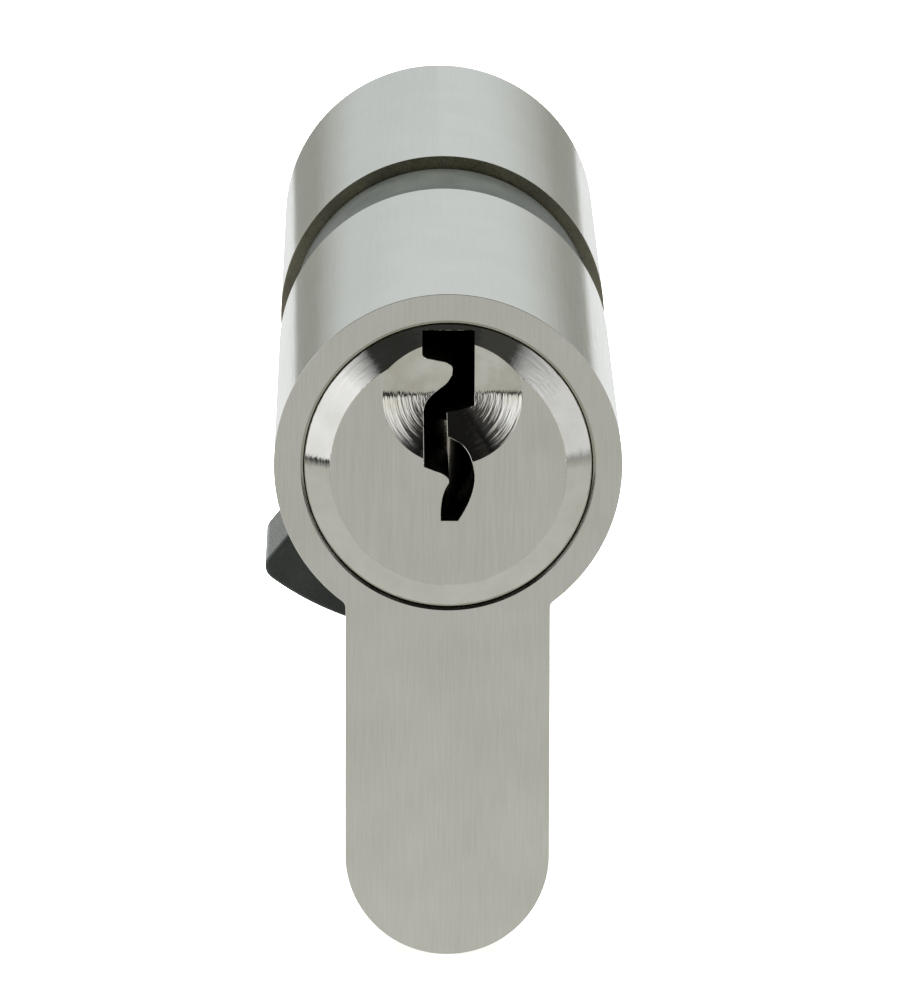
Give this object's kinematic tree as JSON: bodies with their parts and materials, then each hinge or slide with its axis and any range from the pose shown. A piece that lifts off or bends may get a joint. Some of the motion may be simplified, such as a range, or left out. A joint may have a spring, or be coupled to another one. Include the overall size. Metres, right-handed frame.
{
  "type": "euro profile double cylinder",
  "caption": "Euro-profile double lock cylinder: round barrels on a rounded web, a keyed plug at each end and a turning cam in the slot between them.",
  "frame": {"origin": "middle of the fixing screw's cross hole in the bridge under the cam", "axes": "+Y along the plugs from front to rear, +Z from the web up to the barrels, +X to the right as seen from the front face"},
  "size_m": [0.0177, 0.0716, 0.033],
  "materials": {
    "nickel_plate": "satin nickel plate on brass, brushed",
    "sintered_steel": "black oxidised sintered steel, matt",
    "spring_steel": "bright drawn steel",
    "brass": "turned brass",
    "nickel_silver": "turned nickel silver, a pale copper alloy"
  },
  "bodies": {
    "housing": {"housing": "nickel_plate", "front_chamber_plug_1": "nickel_plate", "front_chamber_plug_2": "nickel_plate", "front_chamber_plug_3": "nickel_plate", "front_chamber_plug_4": "nickel_plate", "front_chamber_plug_5": "nickel_plate", "rear_chamber_plug_1": "nickel_plate", "rear_chamber_plug_2": "nickel_plate", "rear_chamber_plug_3": "nickel_plate", "rear_chamber_plug_4": "nickel_plate", "rear_chamber_plug_5": "nickel_plate", "front_spring_1": "spring_steel", "front_spring_2": "spring_steel", "front_spring_3": "spring_steel", "front_spring_4": "spring_steel", "front_spring_5": "spring_steel", "rear_spring_1": "spring_steel", "rear_spring_2": "spring_steel", "rear_spring_3": "spring_steel", "rear_spring_4": "spring_steel", "rear_spring_5": "spring_steel"},
    "front_plug": {"front_plug": "nickel_plate", "front_clip": "spring_steel"},
    "rear_plug": {"rear_plug": "nickel_plate", "rear_clip": "spring_steel"},
    "cam": {"cam": "sintered_steel"},
    "front_coupler": {"front_coupler": "spring_steel"},
    "rear_coupler": {"rear_coupler": "spring_steel"},
    "front_key_pin_1": {"front_key_pin_1": "nickel_silver"},
    "front_key_pin_2": {"front_key_pin_2": "nickel_silver"},
    "front_key_pin_3": {"front_key_pin_3": "nickel_silver"},
    "front_key_pin_4": {"front_key_pin_4": "nickel_silver"},
    "front_key_pin_5": {"front_key_pin_5": "nickel_silver"},
    "front_driver_pin_1": {"front_driver_pin_1": "brass"},
    "front_driver_pin_2": {"front_driver_pin_2": "brass"},
    "front_driver_pin_3": {"front_driver_pin_3": "brass"},
    "front_driver_pin_4": {"front_driver_pin_4": "brass"},
    "front_driver_pin_5": {"front_driver_pin_5": "brass"},
    "rear_key_pin_1": {"rear_key_pin_1": "nickel_silver"},
    "rear_key_pin_2": {"rear_key_pin_2": "nickel_silver"},
    "rear_key_pin_3": {"rear_key_pin_3": "nickel_silver"},
    "rear_key_pin_4": {"rear_key_pin_4": "nickel_silver"},
    "rear_key_pin_5": {"rear_key_pin_5": "nickel_silver"},
    "rear_driver_pin_1": {"rear_driver_pin_1": "brass"},
    "rear_driver_pin_2": {"rear_driver_pin_2": "brass"},
    "rear_driver_pin_3": {"rear_driver_pin_3": "brass"},
    "rear_driver_pin_4": {"rear_driver_pin_4": "brass"},
    "rear_driver_pin_5": {"rear_driver_pin_5": "brass"}
  },
  "joints": [
    {"name": "front_plug_turn", "type": "hinge", "parent": "housing", "child": "front_plug", "pos_m": [0, -0.035, 0.0203], "axis": [0, 1, 0], "continuous": true},
    {"name": "rear_plug_turn", "type": "hinge", "parent": "housing", "child": "rear_plug", "pos_m": [0, 0.035, 0.0203], "axis": [0, 1, 0], "continuous": true},
    {"name": "cam_turn", "type": "hinge", "parent": "housing", "child": "cam", "pos_m": [0, 0, 0.0203], "axis": [0, 1, 0], "continuous": true},
    {"name": "front_coupler_slide", "type": "slide", "parent": "front_plug", "child": "front_coupler", "axis": [0, 1, 0], "range_m": [-0.0034, 0]},
    {"name": "rear_coupler_slide", "type": "slide", "parent": "rear_plug", "child": "rear_coupler", "axis": [0, 1, 0], "range_m": [-0.0034, 0]},
    {"name": "front_key_pin_1_slide", "type": "slide", "parent": "front_plug", "child": "front_key_pin_1", "axis": [0, 0, 1], "range_m": [0, 0.0005]},
    {"name": "front_key_pin_2_slide", "type": "slide", "parent": "front_plug", "child": "front_key_pin_2", "axis": [0, 0, 1], "range_m": [0, 0.0025]},
    {"name": "front_key_pin_3_slide", "type": "slide", "parent": "front_plug", "child": "front_key_pin_3", "axis": [0, 0, 1], "range_m": [0, 0.0037]},
    {"name": "front_key_pin_4_slide", "type": "slide", "parent": "front_plug", "child": "front_key_pin_4", "axis": [0, 0, 1], "range_m": [0, 0.0031]},
    {"name": "front_key_pin_5_slide", "type": "slide", "parent": "front_plug", "child": "front_key_pin_5", "axis": [0, 0, 1], "range_m": [0, 0.0019]},
    {"name": "rear_key_pin_1_slide", "type": "slide", "parent": "rear_plug", "child": "rear_key_pin_1", "axis": [0, 0, 1], "range_m": [0, 0.0005]},
    {"name": "rear_key_pin_2_slide", "type": "slide", "parent": "rear_plug", "child": "rear_key_pin_2", "axis": [0, 0, 1], "range_m": [0, 0.0025]},
    {"name": "rear_key_pin_3_slide", "type": "slide", "parent": "rear_plug", "child": "rear_key_pin_3", "axis": [0, 0, 1], "range_m": [0, 0.0037]},
    {"name": "rear_key_pin_4_slide", "type": "slide", "parent": "rear_plug", "child": "rear_key_pin_4", "axis": [0, 0, 1], "range_m": [0, 0.0031]},
    {"name": "rear_key_pin_5_slide", "type": "slide", "parent": "rear_plug", "child": "rear_key_pin_5", "axis": [0, 0, 1], "range_m": [0, 0.0019]},
    {"name": "front_driver_pin_1_slide", "type": "slide", "parent": "housing", "child": "front_driver_pin_1", "axis": [0, 0, 1], "range_m": [-0.004, 0], "stiffness_N_per_m": 40, "springref_m": 0.005, "deforming": ["front_spring_1"]},
    {"name": "front_driver_pin_2_slide", "type": "slide", "parent": "housing", "child": "front_driver_pin_2", "axis": [0, 0, 1], "range_m": [-0.004, 0], "stiffness_N_per_m": 40, "springref_m": 0.005, "deforming": ["front_spring_2"]},
    {"name": "front_driver_pin_3_slide", "type": "slide", "parent": "housing", "child": "front_driver_pin_3", "axis": [0, 0, 1], "range_m": [-0.004, 0], "stiffness_N_per_m": 40, "springref_m": 0.005, "deforming": ["front_spring_3"]},
    {"name": "front_driver_pin_4_slide", "type": "slide", "parent": "housing", "child": "front_driver_pin_4", "axis": [0, 0, 1], "range_m": [-0.004, 0], "stiffness_N_per_m": 40, "springref_m": 0.005, "deforming": ["front_spring_4"]},
    {"name": "front_driver_pin_5_slide", "type": "slide", "parent": "housing", "child": "front_driver_pin_5", "axis": [0, 0, 1], "range_m": [-0.004, 0], "stiffness_N_per_m": 40, "springref_m": 0.005, "deforming": ["front_spring_5"]},
    {"name": "rear_driver_pin_1_slide", "type": "slide", "parent": "housing", "child": "rear_driver_pin_1", "axis": [0, 0, 1], "range_m": [-0.004, 0], "stiffness_N_per_m": 40, "springref_m": 0.005, "deforming": ["rear_spring_1"]},
    {"name": "rear_driver_pin_2_slide", "type": "slide", "parent": "housing", "child": "rear_driver_pin_2", "axis": [0, 0, 1], "range_m": [-0.004, 0], "stiffness_N_per_m": 40, "springref_m": 0.005, "deforming": ["rear_spring_2"]},
    {"name": "rear_driver_pin_3_slide", "type": "slide", "parent": "housing", "child": "rear_driver_pin_3", "axis": [0, 0, 1], "range_m": [-0.004, 0], "stiffness_N_per_m": 40, "springref_m": 0.005, "deforming": ["rear_spring_3"]},
    {"name": "rear_driver_pin_4_slide", "type": "slide", "parent": "housing", "child": "rear_driver_pin_4", "axis": [0, 0, 1], "range_m": [-0.004, 0], "stiffness_N_per_m": 40, "springref_m": 0.005, "deforming": ["rear_spring_4"]},
    {"name": "rear_driver_pin_5_slide", "type": "slide", "parent": "housing", "child": "rear_driver_pin_5", "axis": [0, 0, 1], "range_m": [-0.004, 0], "stiffness_N_per_m": 40, "springref_m": 0.005, "deforming": ["rear_spring_5"]}
  ],
  "couplings": [
    {"joint": "cam_turn", "follows": "front_plug_turn", "ratio": 1},
    {"joint": "rear_coupler_slide", "follows": "front_coupler_slide", "ratio": 1}
  ]
}
